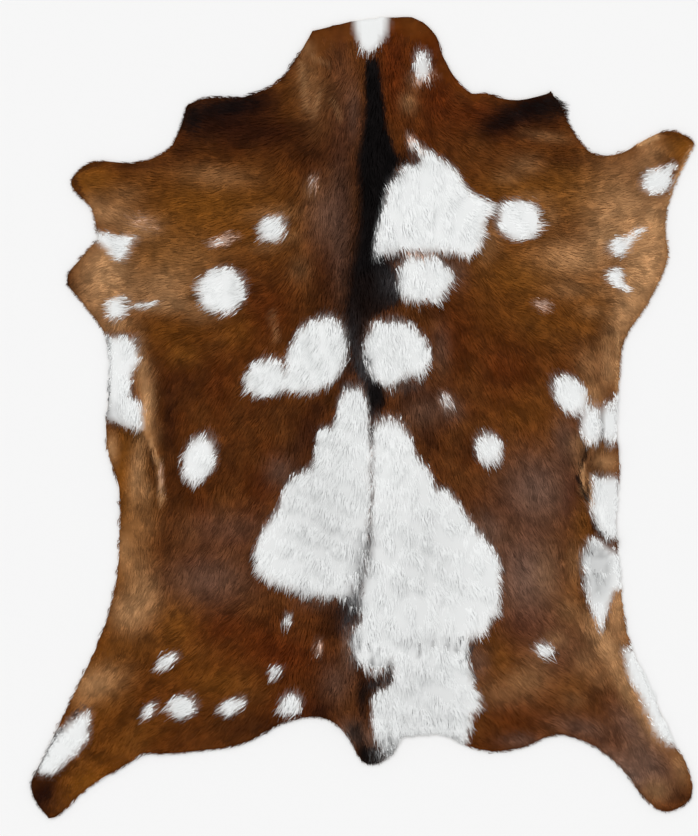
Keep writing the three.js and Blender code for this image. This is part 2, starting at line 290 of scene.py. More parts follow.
# Colour of the coat. The ground is chestnut, golden on the shoulders, pale on the elbows and flank
# edges, redder and darker along the back, and greyer on the hind quarters. White patches, dark
# shoulder points and a black line down the back lie on it. Places are pixels of the photograph.
# Each soft oval has its middle, its half width and half height, its turn in degrees and its share.
GROUND = {
    "gold": [
        (205, 208, 78, 40, 0, 0.8), (92, 182, 30, 20, -10, 0.85), (170, 258, 48, 34, 0, 0.95),
        (290, 102, 15, 28, 20, 0.35), (168, 330, 46, 22, 0, 0.5), (236, 330, 18, 20, 0, 0.4),
        (275, 235, 36, 34, 0, 0.3), (180, 670, 50, 30, -15, 0.35), (225, 684, 36, 16, 0, 0.4),
        (128, 742, 40, 18, 30, 0.45), (82, 782, 30, 18, 30, 0.7), (176, 620, 24, 28, 0, 0.6),
        (128, 560, 26, 90, 0, 0.5), (130, 460, 26, 70, 0, 0.6), (100, 690, 32, 52, -25, 0.6),
        (520, 190, 48, 20, 0, 0.7), (578, 195, 40, 34, 0, 0.85), (528, 272, 48, 36, 0, 0.8),
        (535, 325, 54, 24, 0, 0.45), (535, 420, 40, 30, 0, 0.3), (582, 520, 11, 26, 0, 0.6),
        (500, 660, 30, 26, 0, 0.45), (572, 682, 28, 20, 20, 0.5), (573, 590, 18, 46, -5, 0.45),
        (678, 146, 20, 16, 0, 0.9), (596, 300, 26, 44, 0, 0.6), (650, 750, 26, 50, 38, 0.25),
        (181, 356, 18, 12, 0, 0.6),
    ],
    "tan": [
        (180, 262, 44, 26, 0, 0.2), (104, 278, 24, 38, -10, 0.95), (160, 306, 46, 7, 0, 0.45),
        (108, 213, 20, 11, 0, 0.45), (160, 286, 30, 18, 0, 0.5), (215, 176, 36, 12, -6, 0.24),
        (139, 362, 6, 26, 0, 0.5), (146, 408, 7, 28, -6, 0.8), (137, 472, 8, 34, -6, 0.6),
        (110, 450, 7, 15, 0, 0.6), (142, 524, 15, 20, 0, 0.18), (136, 575, 14, 36, 0, 0.3),
        (146, 597, 14, 22, 0, 0.42), (123, 550, 10, 22, 0, 0.34), (145, 492, 8, 14, 0, 0.34),
        (129, 612, 17, 18, 0, 0.72), (97, 683, 26, 15, 20, 0.6), (84, 704, 9, 20, -30, 0.12),
        (619, 208, 38, 34, 20, 0.62), (652, 152, 16, 14, 0, 0.35), (608, 234, 18, 11, 0, 0.65),
        (648, 268, 20, 42, -15, 0.85), (640, 232, 24, 20, 0, 0.5), (660, 220, 12, 28, 0, 0.45),
        (620, 165, 32, 18, 0, 0.12), (578, 258, 40, 18, 0, 0.6), (626, 308, 12, 28, -25, 0.65),
        (608, 362, 10, 26, 0, 0.48), (588, 366, 12, 20, 0, 0.25), (604, 462, 16, 12, 0, 0.5),
        (618, 604, 8, 20, 0, 0.6), (608, 648, 12, 26, 30, 0.8), (628, 686, 10, 28, 32, 0.65),
        (650, 724, 9, 26, 32, 0.5), (656, 790, 13, 10, 0, 0.45), (526, 165, 16, 10, 0, 0.26),
        (545, 136, 24, 6, -8, 0.2), (526, 680, 20, 12, 0, 0.26), (309, 92, 15, 42, 8, 0.2),
        (408, 104, 8, 9, 0, 0.35), (138, 226, 20, 13, 0, 0.58), (591, 396, 12, 14, 0, 0.48),
        (116, 325, 16, 9, 0, 0.5), (634, 278, 14, 34, -10, 0.5), (500, 694, 36, 14, 0, 0.2),
        (576, 455, 10, 16, 0, 0.2), (586, 443, 12, 7, 0, 0.35), (591, 624, 12, 18, 15, 0.34),
        (680, 766, 9, 18, 10, 0.32), (623, 330, 12, 18, -30, 0.35), (202, 315, 20, 8, 0, 0.24),
        (493, 236, 10, 18, 0, 0.22), (272, 215, 26, 9, 0, 0.24), (575, 564, 8, 20, 0, 0.24),
        (572, 290, 26, 10, 0, 0.26), (532, 197, 20, 7, 0, 0.2), (556, 640, 12, 9, 0, 0.26),
        (92, 204, 12, 12, 0, 0.24), (414, 82, 8, 10, 0, 0.18), (122, 196, 20, 12, 0, 0.2),
        (299, 270, 12, 14, 0, 0.16), (165, 298, 18, 7, 0, 0.34), (568, 611, 12, 14, 0, 0.2),
        (484, 252, 8, 14, 0, 0.18), (610, 374, 7, 10, 0, 0.2), (155, 436, 7, 12, 0, 0.22),
        (626, 693, 8, 12, 30, 0.22), (575, 700, 14, 9, 0, 0.14), (645, 166, 12, 7, 0, 0.28),
        (600, 240, 11, 8, 0, 0.24), (509, 178, 14, 8, 0, 0.18), (266, 247, 14, 7, 0, 0.18),
        (642, 248, 13, 18, 0, 0.26), (600, 679, 12, 12, 0, 0.18), (546, 576, 14, 24, 0, 0.16),
        (621, 630, 8, 18, 20, 0.35), (550, 216, 10, 12, 0, 0.24), (611, 618, 7, 18, 0, 0.28),
        (128, 295, 14, 10, 0, 0.36), (310, 190, 8, 10, 0, 0.18), (306, 48, 8, 8, 0, 0.22),
        (537, 662, 14, 14, 0, 0.15), (634, 202, 14, 9, 0, 0.28), (608, 290, 12, 12, 0, 0.24),
        (288, 238, 14, 8, 0, 0.18), (593, 311, 14, 8, 0, 0.22), (586, 662, 12, 14, 0, 0.24),
    ],
    "rust": [
        (393, 66, 20, 54, 0, 0.85), (432, 46, 16, 22, 0, 0.6), (438, 104, 26, 38, 0, 0.8),
        (478, 112, 26, 16, 0, 0.6), (262, 312, 24, 34, 0, 0.6), (262, 494, 18, 22, 0, 0.5),
        (505, 358, 26, 42, 0, 0.55), (462, 330, 22, 28, 0, 0.5), (220, 630, 40, 18, 0, 0.7),
        (165, 682, 44, 30, 0, 0.35), (280, 655, 40, 28, 0, 0.85), (525, 625, 30, 18, 0, 0.6),
        (515, 712, 38, 20, 0, 0.5), (572, 496, 10, 22, 0, 0.6), (300, 706, 28, 16, 0, 0.7),
        (216, 385, 14, 26, 0, 0.4),
    ],
    "umber": [
        (500, 356, 30, 40, 0, 0.14), (331, 42, 16, 12, 0, 0.15), (330, 312, 10, 14, 0, 0.32),
        (150, 669, 18, 12, 0, 0.26), (668, 778, 13, 12, 0, 0.3), (435, 56, 8, 20, 0, 0.32),
        (519, 330, 24, 12, 0, 0.26), (553, 122, 18, 8, 0, 0.4), (170, 500, 9, 18, 0, 0.38),
        (320, 712, 17, 15, 0, 0.85), (168, 425, 11, 58, 0, 0.62), (186, 388, 28, 24, 0, 0.42),
        (303, 440, 14, 30, -25, 0.7), (312, 154, 30, 20, 0, 0.6), (342, 200, 13, 70, 0, 0.6),
        (326, 292, 22, 40, 0, 0.5), (262, 134, 60, 18, 8, 0.75), (180, 152, 18, 8, 25, 0.5),
        (130, 165, 36, 5, 0, 0.6), (502, 124, 30, 14, 24, 0.85), (566, 160, 34, 6, 0, 0.45),
        (426, 438, 14, 24, 30, 0.5), (466, 448, 12, 13, 0, 0.4), (568, 466, 9, 34, 0, 0.45),
        (335, 622, 18, 26, 0, 0.62), (272, 728, 36, 11, 15, 0.6), (235, 724, 26, 16, 0, 0.4),
        (495, 743, 20, 6, 0, 0.25), (683, 797, 12, 11, 0, 0.62), (595, 692, 15, 9, 0, 0.4),
        (226, 462, 14, 20, 0, 0.3), (346, 376, 10, 26, -20, 0.65), (412, 396, 22, 16, 0, 0.55),
        (604, 328, 12, 10, 0, 0.3), (262, 410, 30, 12, 0, 0.25), (320, 410, 14, 16, 0, 0.5),
        (430, 312, 24, 10, 0, 0.45), (34, 772, 6, 14, 0, 0.5), (230, 108, 56, 18, 10, 1.0),
        (222, 126, 50, 20, 0, 0.9), (532, 110, 42, 18, 16, 1.0), (42, 794, 17, 26, -25, 1.0),
    ],
    # The ash ovals at (340, 90) and (353, 116) on the left of the neck are partly greyed hair and
    # partly painted sheen.
    "ash": [
        (324, 218, 20, 36, 0, 0.5), (340, 230, 12, 80, 0, 0.55), (340, 90, 14, 50, 0, 0.15),
        (526, 576, 34, 44, 0, 0.8), (536, 490, 36, 36, 0, 0.75), (488, 530, 16, 22, 30, 0.6),
        (565, 440, 13, 26, 0, 0.5), (424, 412, 26, 18, 20, 0.5), (280, 472, 15, 15, 0, 0.5),
        (208, 580, 46, 26, 0, 0.5), (230, 530, 50, 20, 0, 0.3), (632, 726, 16, 30, 40, 0.6),
        (650, 765, 20, 32, 40, 0.75), (582, 728, 32, 12, -10, 0.5), (560, 650, 40, 40, 0, 0.25),
        (440, 350, 10, 24, 0, 0.4), (335, 684, 16, 22, 0, 0.45), (352, 735, 14, 13, 0, 1.0),
        (454, 272, 12, 16, 0, 0.55), (404, 386, 16, 8, 0, 0.9), (353, 116, 8, 30, 0, 0.42),
        (452, 411, 11, 11, 0, 0.5), (522, 741, 22, 8, 0, 0.5), (372, 740, 8, 8, 0, 0.8),
        (634, 754, 12, 14, 30, 0.3), (631, 777, 15, 10, -30, 0.85), (618, 762, 28, 11, -40, 0.6),
        (478, 662, 12, 16, 0, 0.5), (350, 656, 9, 20, 0, 0.55), (318, 603, 20, 7, 0, 0.45),
    ],
    "black": [
        (557, 106, 14, 17, 0, 0.62), (404, 162, 8, 11, 0, 0.75), (377, 683, 15, 8, 25, 0.85),
        (389, 670, 5, 10, 0, 0.6), (358, 578, 7, 30, -15, 0.85), (226, 106, 48, 14, 10, 0.78),
        (190, 120, 12, 22, 0, 0.7), (534, 106, 38, 14, 16, 0.88), (500, 124, 20, 9, 24, 0.5),
        (40, 796, 14, 20, -25, 0.35), (376, 396, 10, 15, -10, 1.0), (362, 698, 8, 32, 0, 0.8),
        (345, 610, 18, 16, 0, 0.6), (352, 612, 9, 16, 0, 0.35), (352, 345, 8, 26, 0, 0.45),
    ],
    "smoke": [
        (352, 345, 9, 26, 0, 0.5), (363, 369, 9, 18, 0, 0.9), (393, 284, 7, 16, 0, 1.0),
        (385, 284, 10, 18, 0, 0.35), (320, 520, 46, 80, 0, 0.12), (425, 560, 50, 90, 0, 0.1),
        (425, 700, 50, 40, 0, 0.12), (395, 352, 30, 26, 0, 0.05),
    ],
}
# The same for ovals with a clear border.
SPOTS = {
    "black": [
        (370, 757, 14, 12, 0, 0.95), (357, 738, 8, 17, 25, 0.7),
    ],
    "pink": [
        (217, 242.5, 11, 6, 5, 0.85), (229, 236, 8, 5, -30, 0.75), (140, 222, 18, 8, -25, 0.36),
        (312, 184, 7, 8, 0, 0.55), (422, 79, 14, 10, 0, 0.45), (545, 306.5, 9, 8, -10, 0.6),
        (317, 650, 7, 11, 0, 0.45), (446, 403, 9, 10, 0, 0.45), (350, 642, 9, 24, 0, 0.3),
    ],
    "white": [
        (379, 756, 12, 9, 0, 0.2), (421.5, 66, 9.0, 14.6, 4, 0.86), (519.5, 220, 23, 21, 0, 1.0),
        (657.2, 180.5, 15.8, 13.2, 12, 1.0), (669, 168, 8, 5, 45, 0.9),
        (619, 246.5, 11, 9.5, 0, 0.97), (616, 276, 8.5, 9, 0, 0.97), (544, 306, 4, 4, -10, 0.25),
        (447, 402, 7, 7, 0, 0.55), (488.5, 449.5, 14.5, 16, 0, 0.95), (569.5, 395, 16, 21, 32, 1.0),
        (591, 426, 11, 20, 0, 1.0), (609, 424, 10, 20, 0, 1.0), (545.8, 650.5, 9.6, 8, 0, 0.78),
        (270.5, 229, 14.5, 13, 0, 0.97), (219.5, 291, 23.8, 24, 0, 1.0), (216, 243, 7, 4, 5, 0.5),
        (311, 182, 4, 4, 0, 0.35), (316, 356, 29.5, 39.5, -27, 1.0), (292, 385, 12, 10, 0, 1.0),
        (264.5, 379.5, 22, 19.5, 10, 1.0), (198, 460, 16.5, 25, -18, 1.0),
        (116, 308, 11, 13, -25, 0.97), (286.5, 621.8, 5.9, 6.0, 0, 0.75), (317, 650, 4, 6, 0, 0.28),
        (165.5, 661, 11.2, 7.0, 32, 0.95), (273.8, 672.5, 7.6, 5.4, 0, 0.85),
        (147.5, 710, 5.9, 8.8, -25, 0.92), (180.2, 707.3, 13.6, 12.2, 8, 1.0),
        (230.2, 707, 12.8, 8.2, 22, 0.95), (289.2, 705.3, 12.4, 10.8, 15, 0.97),
    ],
    "smoke": [
        (595, 572, 18, 30, 0, 0.24), (612, 500, 12, 34, 0, 0.05), (388, 751, 15, 13, 0, 0.44),
        (112, 415, 10, 14, 0, 0.2),
    ],
}
# Soft streaks, each with its two ends, its half width and its share. Some are painted shade in the
# creases of the flank folds and along parts of the cut edge, and some on the ridges of the folds
# are pale hair and painted light.
STREAKS = {
    "smoke": [
        (371, 412, 371, 440, 3.0, 0.5), (371, 440, 371, 500, 2.0, 0.32),
        (371, 500, 369, 560, 2.0, 0.3), (366, 540, 352, 606, 10.0, 0.34),
        (352, 604, 348, 630, 9.0, 0.66), (370, 686, 386, 679, 4.0, 0.6),
        (386, 680, 390, 664, 3.0, 0.7), (350, 622, 353, 664, 6.0, 0.36),
        # Painted shade: the last two streaks on the next line darken the hair along the cut edge of
        # the left hind leg.
        (372, 664, 380, 676, 4.0, 0.4), (85, 704, 54, 737, 1.7, 0.8), (54, 737, 35, 772, 1.7, 0.75),
        (404, 640, 470, 648, 9.0, 0.12), (477, 640, 466, 657, 1.8, 0.75),
        (470, 650, 461, 662, 1.5, 0.55), (461, 638, 455, 651, 1.5, 0.5),
        (448, 640, 444, 655, 1.5, 0.45), (434, 637, 431, 649, 1.4, 0.4),
        (420, 641, 418, 655, 1.4, 0.35), (479, 668, 471, 676, 1.4, 0.5),
        (368, 646, 372, 664, 1.6, 0.6), (378, 650, 381, 668, 1.4, 0.5),
        (358, 636, 360, 652, 1.6, 0.4), (386, 724, 392, 744, 1.5, 0.35),
        # Painted shade: the last streak on the next line darkens the left edge where the hide turns
        # down.
        (400, 736, 458, 738, 3.0, 0.3), (108, 340, 108, 418, 2.5, 0.45),
        (587, 553, 602, 556, 1.6, 0.3), (600, 550, 612, 560, 1.5, 0.25),
        (594, 566, 597, 590, 1.6, 0.22), (606, 566, 604, 586, 1.6, 0.22),
        (411, 154, 417, 166, 3.2, 0.6), (388, 180, 402, 176, 3.2, 0.45),
        (374, 254, 396, 258, 3.0, 0.35), (600, 412, 602, 440, 1.5, 0.45),
        (300, 592, 345, 598, 5.0, 0.2), (382, 318, 400, 318, 3.0, 0.3),
        (386, 394, 420, 384, 3.0, 0.3), (340, 388, 352, 386, 3.0, 0.4),
    ],
    "white": [
        (362, 360, 364, 376, 4.0, 0.24), (627, 240, 641, 230, 3.4, 0.9),
        (617, 282, 626, 289, 3.4, 0.95), (133, 305.5, 153, 304.5, 2.4, 0.85),
        (616, 400, 618, 440, 3.0, 0.9), (367, 545, 352, 606, 6.5, 0.6),
    ],
    "black": [
        # Painted shadow: the streaks from (137, 432) to (606, 539) darken the creases of the flank
        # folds.
        (374, 268, 398, 260, 5.0, 0.7), (137, 432, 147, 445, 2.0, 0.55),
        (147, 445, 153, 464, 2.0, 0.55), (153, 464, 157, 496, 2.0, 0.5),
        (597, 442, 586, 450, 1.6, 0.6), (586, 450, 577, 478, 2.0, 0.85),
        (577, 478, 587, 502, 2.2, 0.9), (602, 443, 616, 446, 1.6, 0.6),
        (586, 478, 588, 496, 1.6, 0.6), (595, 527, 606, 539, 2.5, 0.35),
        # Painted shade: the three streaks between (560, 736) and (652, 811) darken the hair along
        # the cut edge of the right hind leg.
        (630, 775, 652, 811, 1.6, 0.5), (600, 750, 630, 775, 1.6, 0.5),
        (560, 736, 600, 750, 1.4, 0.4), (560, 279, 582, 285, 1.2, 0.3),
    ],
    "pink": [
        (406, 256, 436, 257, 3.5, 0.6), (409, 141, 426, 156, 4.0, 0.9),
        # Painted highlight: the streak at (161, 468) lights the tip of the left flank fold.
        (161, 468, 162, 498, 1.6, 0.5),
    ],
    "umber": [
        # Painted shade: the streaks at (593, 524), (147, 448), (112, 424) and (584, 452) darken the
        # folds on the flanks, and the five from (70, 170) to (690, 138) darken the hair along the
        # cut edge of the forelegs and the neck.
        (404, 257, 440, 257, 3.0, 0.35), (593, 524, 608, 540, 5.0, 0.8),
        (147, 448, 151, 484, 3.0, 0.36), (112, 424, 134, 438, 5.0, 0.34),
        (70, 170, 80, 197, 3.5, 0.75), (72, 172, 100, 162, 3.5, 0.65),
        (68, 265, 66, 290, 3.5, 0.75), (302, 46, 280, 80, 2.5, 0.6), (660, 131, 690, 138, 2.5, 0.5),
        (584, 452, 600, 478, 5.0, 0.4), (575, 345, 612, 330, 6.0, 0.3),
    ],
    "tan": [
        # Pale hair and painted light: the streaks on the next two lines and the first one on the
        # line after lie on the ridges of the flank folds.
        (582, 468, 583, 494, 2.4, 0.75), (590, 476, 591, 508, 2.2, 0.9),
        (159, 462, 161, 502, 3.0, 0.7), (150, 440, 156, 462, 3.0, 0.6),
        (143, 365, 148, 425, 6.0, 0.45), (300, 62, 306, 110, 3.0, 0.35),
        (312, 58, 328, 66, 3.0, 0.2), (318, 92, 312, 118, 2.5, 0.3),
        (330, 100, 340, 120, 2.5, 0.22), (600, 218, 614, 213, 3.0, 0.5),
        (644, 228, 652, 210, 3.0, 0.7), (270, 312, 276, 340, 3.0, 0.2),
        (618, 335, 617, 400, 2.5, 0.6), (693, 148, 678, 176, 3.0, 0.85),
        (678, 176, 668, 204, 2.2, 0.8), (640, 143, 658, 135, 3.2, 0.9),
        (630, 237, 648, 224, 5.0, 0.8),
    ],
}
# White patches, each with its share and its outline.
PATCHES = [
    (1.0, [
        (352, 10), (389, 10), (387, 32), (380, 45), (369, 55), (359, 49), (354, 30)
    ]),
    (0.62, [
        (407, 137), (416, 141), (427, 151), (440, 157), (430, 166), (419, 160), (409, 150)
    ]),
    (1.0, [
        (426, 151), (445, 161), (458, 170), (467, 189), (483, 196), (498, 206), (493, 212),
        (486, 222), (484, 236), (482, 248), (470, 260), (456, 255), (436, 253), (405, 253),
        (388, 255), (373, 262), (373, 240), (380, 214), (387, 192), (395, 178), (403, 170),
        (419, 165)
    ]),
    (0.98, [
        (403, 262), (411, 257), (436, 259), (447, 267), (456, 276), (449, 289), (438, 302),
        (415, 304), (402, 299), (394, 286), (396, 272)
    ]),
    (1.0, [
        (374, 323), (398, 322), (414, 327), (428, 343), (432, 362), (424, 375), (404, 379),
        (390, 389), (381, 386), (368, 376), (362, 360), (363, 340)
    ]),
    (0.97, [
        (344, 388), (360, 389), (368, 402), (371, 440), (371, 500), (368, 536), (361, 566),
        (353, 590), (346, 603), (334, 598), (312, 599), (290, 592), (272, 583), (255, 575),
        (252, 552), (263, 527), (277, 508), (284, 484), (294, 475), (310, 469), (314, 450),
        (315, 433), (332, 427), (337, 402)
    ]),
    (0.98, [
        (386, 418), (398, 421), (412, 438), (418, 458), (430, 470), (437, 489), (450, 493),
        (464, 512), (478, 532), (494, 549), (500, 562), (501, 582), (500, 608), (486, 632),
        (468, 641), (469, 662), (475, 684), (483, 707), (473, 716), (468, 742), (456, 748),
        (400, 760), (386, 760), (378, 748), (371, 728), (371, 695), (383, 690), (392, 683),
        (391, 664), (381, 675), (366, 671), (355, 662), (348, 644), (354, 629), (362, 618),
        (356, 605), (361, 588), (368, 560), (371, 500), (371, 450), (373, 424)
    ]),
    (1.0, [
        (592, 476), (606, 477), (618, 476), (622, 500), (622, 540), (610, 541), (598, 530),
        (589, 514), (591, 490)
    ]),
    (0.97, [
        (579, 556), (589, 541), (597, 539), (611, 550), (626, 554), (626, 588), (613, 592),
        (607, 614), (601, 634), (591, 614), (584, 593)
    ]),
    (1.0, [
        (622, 648), (634, 648), (690, 750), (668, 745), (654, 732), (644, 707), (638, 695),
        (628, 680)
    ]),
    (1.0, [
        (94, 230), (112, 233), (135, 236), (130, 246), (122, 261), (114, 262), (107, 250),
        (100, 244), (94, 240)
    ]),
    (0.98, [
        (104, 335), (133, 338), (140, 360), (132, 374), (131, 396), (142, 406), (143, 430),
        (128, 428), (112, 421), (104, 419)
    ]),
    (1.0, [
        (88, 711), (90, 718), (88, 740), (74, 756), (52, 775), (35, 773), (37, 757), (52, 733),
        (64, 726), (76, 715)
    ]),
]
# The black line down the back: the height of each row, its left and right side, the softness of
# the left side and its share.
BACK_LINE = [
    (56, 371, 373, 4, 0.0), (62, 366, 379, 4, 1.0), (80, 365, 381, 5, 1.0), (105, 366, 384, 5, 1.0),
    (130, 364, 387, 7, 1.0), (146, 361, 393, 9, 1.0), (160, 359, 400, 12, 1.0),
    (175, 359, 396, 13, 1.0), (190, 360, 389, 13, 1.0), (205, 361, 386, 14, 1.0),
    (225, 360, 381, 16, 1.0), (245, 357, 378, 18, 1.0), (258, 355, 384, 20, 1.0),
    (268, 352, 390, 20, 1.0), (282, 350, 396, 18, 0.95), (294, 350, 400, 18, 0.95),
    (306, 346, 397, 16, 0.92), (318, 346, 374, 14, 0.9), (332, 350, 364, 10, 0.85),
    (352, 352, 363, 8, 0.7), (372, 355, 368, 8, 0.75), (386, 366, 380, 6, 0.95),
    (404, 370, 386, 6, 0.95), (414, 369, 379, 5, 0.8), (422, 370, 373, 5, 0.0),
]
# Widths in pixels: the soft border of a mark, that of the black line's right side, what the hair
# adds to a mark by lying past its border, and the room in which a patch is worked out around it.
BORDER = 4.8
BACK_BORDER = 4
TRIM = 1.2
PATCH_MARGIN = 9
# The softest border of a small spot, as a share of its size, and how steeply a soft oval fades.
SPOT_SOFTEST = 0.55
FALL = 1.1
# The cut edge shades the hair next to it, except on the far right.
RIM_SHADE = 0.5
RIM_SHADE_WIDE = 0.0042
RIM_SHADE_FULL = 0.0004
RIM_SHADE_LAST = 600
TONE_LAYERS = {
    "marks": ("white", "black", "pink"),
    "tones": ("tan", "umber", "ash"),
    "warmth": ("gold", "rust", "smoke"),
}
TONE_NAMES = [name for names in TONE_LAYERS.values() for name in names]


def smooth(low, high, value):
    t = np.clip((value - low) / (high - low), 0, 1)
    return t * t * (3 - 2 * t)


def coat_tones(x, y):
    """The share of each tone in the coat at each place, from 0 to 1."""
    px = x / PIXEL + MIDDLE_PIXEL[0]
    py = MIDDLE_PIXEL[1] - y / PIXEL
    bare = {name: np.ones_like(x) for name in TONE_NAMES}
    at_rim = smooth(RIM_SHADE_WIDE, RIM_SHADE_FULL, inset(x, y))
    bare["umber"] -= RIM_SHADE * at_rim * (px < RIM_SHADE_LAST)

    def reach(middle_x, middle_y, wide, high, degrees):
        turn = math.radians(degrees)
        across = (px - middle_x) * math.cos(turn) - (py - middle_y) * math.sin(turn)
        down = (px - middle_x) * math.sin(turn) + (py - middle_y) * math.cos(turn)
        return across / wide, down / high

    for tone, ovals in GROUND.items():
        for middle_x, middle_y, wide, high, degrees, most in ovals:
            across, down = reach(middle_x, middle_y, wide, high, degrees)
            bare[tone] *= 1 - most * np.exp(-FALL * (across ** 2 + down ** 2))
    for tone, ovals in SPOTS.items():
        for middle_x, middle_y, wide, high, degrees, most in ovals:
            wide, high = wide - TRIM, high - TRIM
            soft = min(BORDER / min(wide, high), SPOT_SOFTEST)
            away = np.hypot(*reach(middle_x, middle_y, wide, high, degrees))
            bare[tone] *= 1 - most * smooth(1 + soft, 1 - soft, away)
    for tone, streaks in STREAKS.items():
        for *ends, wide, most in streaks:
            bare[tone] *= 1 - most * np.exp(-FALL * (along_line(px, py, *ends) / wide) ** 2)
    for most, outline in PATCHES:
        corners = np.array(outline, float)
        lines = np.hstack([corners, np.roll(corners, -1, axis=0)])
        left, top = corners.min(axis=0) - PATCH_MARGIN
        right, bottom = corners.max(axis=0) + PATCH_MARGIN
        near = (px > left) & (px < right) & (py > top) & (py < bottom)
        share = np.zeros_like(x)
        share[near] = smooth(-BORDER, BORDER, inside_distance(px[near], py[near], lines) - TRIM)
        bare["white"] *= 1 - most * share
    row_y, *sides = np.array(BACK_LINE).T
    left, right, soft, most = (np.interp(py, row_y, side) for side in sides)
    line = smooth(left - soft, left + soft / 3, px)
    line = line * smooth(right + BACK_BORDER, right - BACK_BORDER, px)
    line *= (py > row_y[0]) & (py < row_y[-1])
    bare["black"] *= 1 - most * line
    return {name: 1 - left_bare for name, left_bare in bare.items()}


class Shade:
    """One socket of a material's nodes, which can stand in a sum like a number."""

    def __init__(self, tree, socket=None):
        self.tree = tree
        self.socket = socket

    def node(self, kind, settings=None, sockets=None, output=0):
        made = self.tree.nodes.new(kind)
        for name, value in (settings or {}).items():
            setattr(made, name, value)
        for name, value in (sockets or {}).items():
            if isinstance(value, Shade):
                self.tree.links.new(value.socket, made.inputs[name])
            else:
                made.inputs[name].default_value = value
        return Shade(self.tree, made.outputs[output] if made.outputs else None)

    def sum_of(self, operation, first, second):
        return self.node("ShaderNodeMath", {"operation": operation}, {0: first, 1: second})

    def __add__(self, other):
        return self.sum_of("ADD", self, other)

    def __mul__(self, other):
        return self.sum_of("MULTIPLY", self, other)

    def __rsub__(self, other):
        return self.sum_of("SUBTRACT", other, self)

    def __sub__(self, other):
        return self.sum_of("SUBTRACT", self, other)

    __radd__ = __add__
    __rmul__ = __mul__

    def blend(self, first, second):
        """One colour turning into another as this value goes from 0 to 1."""
        sockets = {0: self, 6: first, 7: second}
        return self.node("ShaderNodeMix", {"data_type": "RGBA"}, sockets, output=2)

    def bright(self, amount):
        """This colour made brighter or darker by a value."""
        sockets = {0: self, "Scale": amount}
        return self.node("ShaderNodeVectorMath", {"operation": "SCALE"}, sockets)

    def noise(self, place, scale, detail):
        sockets = {"Vector": place, "Scale": scale, "Detail": detail}
        return self.node("ShaderNodeTexNoise", None, sockets)

    def attribute(self, name, output=0):
        return self.node("ShaderNodeAttribute", {"attribute_name": name}, output=output)

    def channels(self):
        """The red, green and blue of this colour."""
        split = self.node("ShaderNodeSeparateColor", None, {0: self}).socket.node
        return [Shade(self.tree, output) for output in split.outputs]


OBJECT_PLACE = 3
ATTRIBUTE_VALUE = 2


def new_material(name, roughness, specular):
    """A material with an even gloss, the start of its nodes and its surface."""
    material = bpy.data.materials.new(name)
    material.use_nodes = True
    surface = material.node_tree.nodes["Principled BSDF"]
    surface.inputs["Roughness"].default_value = roughness
    surface.inputs["Specular IOR Level"].default_value = specular
    return material, Shade(material.node_tree), surface


CHESTNUT = ((0.090, 0.022, 0.003, 1), (0.112, 0.035, 0.007, 1))
TONE_COLOURS = {
    "rust": (0.092, 0.016, 0.002, 1),
    "gold": (0.190, 0.065, 0.008, 1),
    "ash": (0.160, 0.092, 0.066, 1),
    "tan": (0.520, 0.280, 0.125, 1),
    "umber": (0.021, 0.005, 0.002, 1),
    "pink": (0.620, 0.400, 0.300, 1),
    "black": (0.004, 0.003, 0.003, 1),
}
CHALK = ((0.860, 0.875, 0.870, 1), (0.915, 0.925, 0.920, 1))
SMOKE = (0.050, 0.046, 0.048, 1)


def coat_colour(shade):
    """Colour of the hair from the tones that each strand or point of the skin carries."""
    share = {}
    for layer, names in TONE_LAYERS.items():
        share.update(zip(names, shade.attribute(layer).channels()))
    place = shade.node("ShaderNodeTexCoord", output=OBJECT_PLACE)
    clouds = shade.noise(place, 26.0, 3.0)
    blots = shade.noise(place, 58.0, 2.0)
    locks = shade.noise(place, 130.0, 2.0)
    body = (clouds * 2.4 - 0.7).blend(*CHESTNUT)
    for tone, colour in TONE_COLOURS.items():
        body = share[tone].blend(body, colour)
    body = body.bright((locks * 0.6 + 0.70) * (blots * 0.8 + 0.74))
    body = share["white"].blend(body, (clouds * 1.6 - 0.3).blend(*CHALK))
    return share["smoke"].blend(body, SMOKE), share["white"]


def put_attribute(mesh, name, kind, values):
    layer = mesh.attributes.new(name, kind, "POINT")
    layer.data.foreach_set("color" if kind == "FLOAT_COLOR" else "value", values.ravel())


def put_tones(mesh, shares):
    """Writes the tones of each point on the mesh, for the materials to read."""
    one = np.ones_like(shares["white"])
    for layer, names in TONE_LAYERS.items():
        values = np.stack([*(shares[name] for name in names), one], 1)
        put_attribute(mesh, layer, "FLOAT_COLOR", values)


put_tones(skin.data, coat_tones(places[:, 0], places[:, 1]))
put_attribute(skin.data, "flesh", "FLOAT", is_flesh)

SUEDE = ((0.50, 0.37, 0.24, 1), (0.66, 0.54, 0.39, 1))
NAP_DEPTH = 0.0006
leather, shade, surface = new_material("tanned_leather", roughness=0.86, specular=0.10)
hair_side, _ = coat_colour(shade)
place = shade.node("ShaderNodeTexCoord", output=OBJECT_PLACE)
blotches = shade.noise(place, 14.0, 5.0)
nap = shade.noise(place, 900.0, 3.0)
suede = (blotches * 2.0 - 0.5).blend(*SUEDE)
flesh = shade.attribute("flesh", ATTRIBUTE_VALUE)
colour = flesh.blend(hair_side.bright(0.9), suede.bright(nap * 0.3 + 0.85))
leather.node_tree.links.new(colour.socket, surface.inputs["Base Color"])
relief = shade.node(
    "ShaderNodeBump", None, {"Height": nap, "Strength": 0.35, "Distance": NAP_DEPTH}
)
leather.node_tree.links.new(relief.socket, surface.inputs["Normal"])
skin.data.materials.append(leather)
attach(skin, "root")
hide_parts("goatskin")


